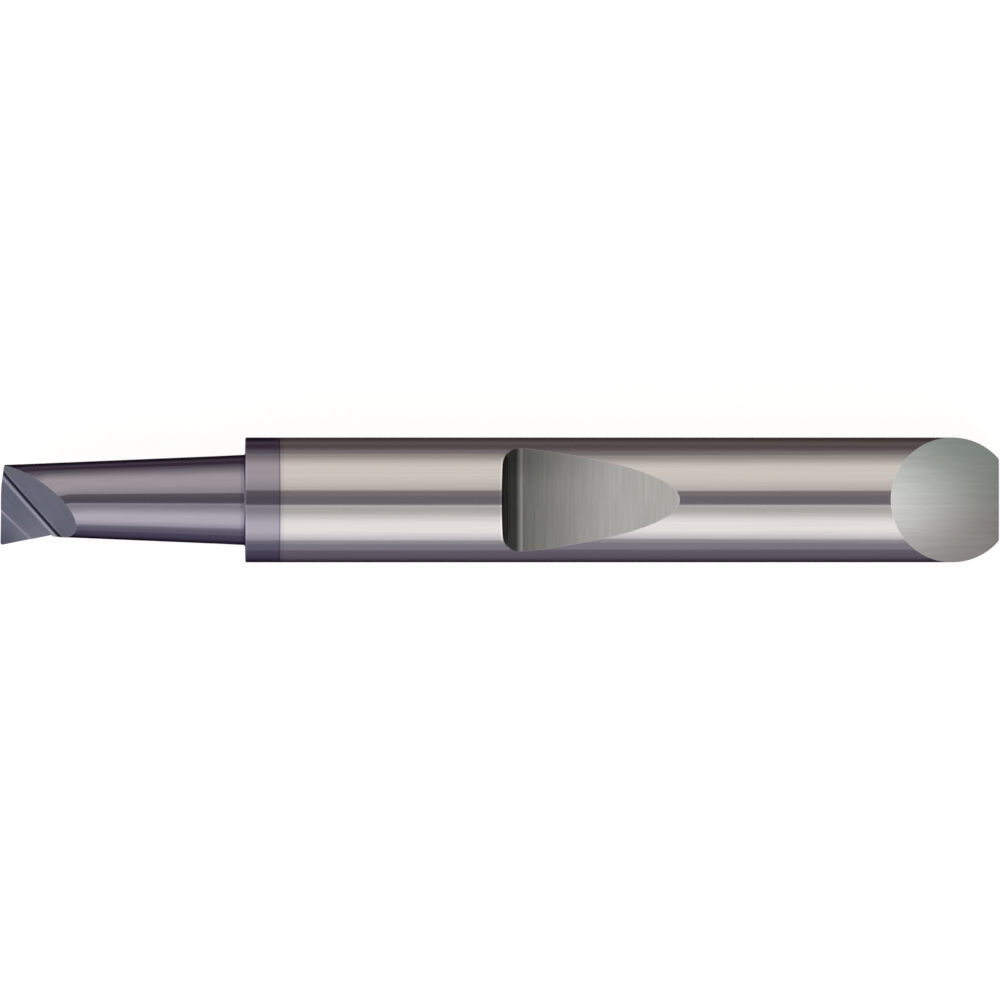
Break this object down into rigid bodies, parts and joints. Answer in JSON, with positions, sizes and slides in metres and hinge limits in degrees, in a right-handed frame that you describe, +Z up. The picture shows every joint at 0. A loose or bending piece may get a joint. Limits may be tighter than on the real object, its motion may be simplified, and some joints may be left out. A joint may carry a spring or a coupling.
{
  "type": "boring bar",
  "caption": "Solid carbide boring bar with a ground cutting head, tapered neck and round shank with a locking notch and a rear locating bevel.",
  "frame": {"origin": "on the shank's axis, at the front shoulder where the neck begins", "axes": "+X along the shank's axis towards its rear end; +Z up, the way that the rake faces, the locking flat and the locating bevel look; the cutting nose is at low X on the -Y side"},
  "size_m": [0.0635, 0.008, 0.008],
  "materials": {
    "carbide": "ground solid carbide, satin along the shank, with a dark thin coating on the neck and head"
  },
  "bodies": {
    "root": {"boring_bar": "carbide"}
  },
  "joints": []
}
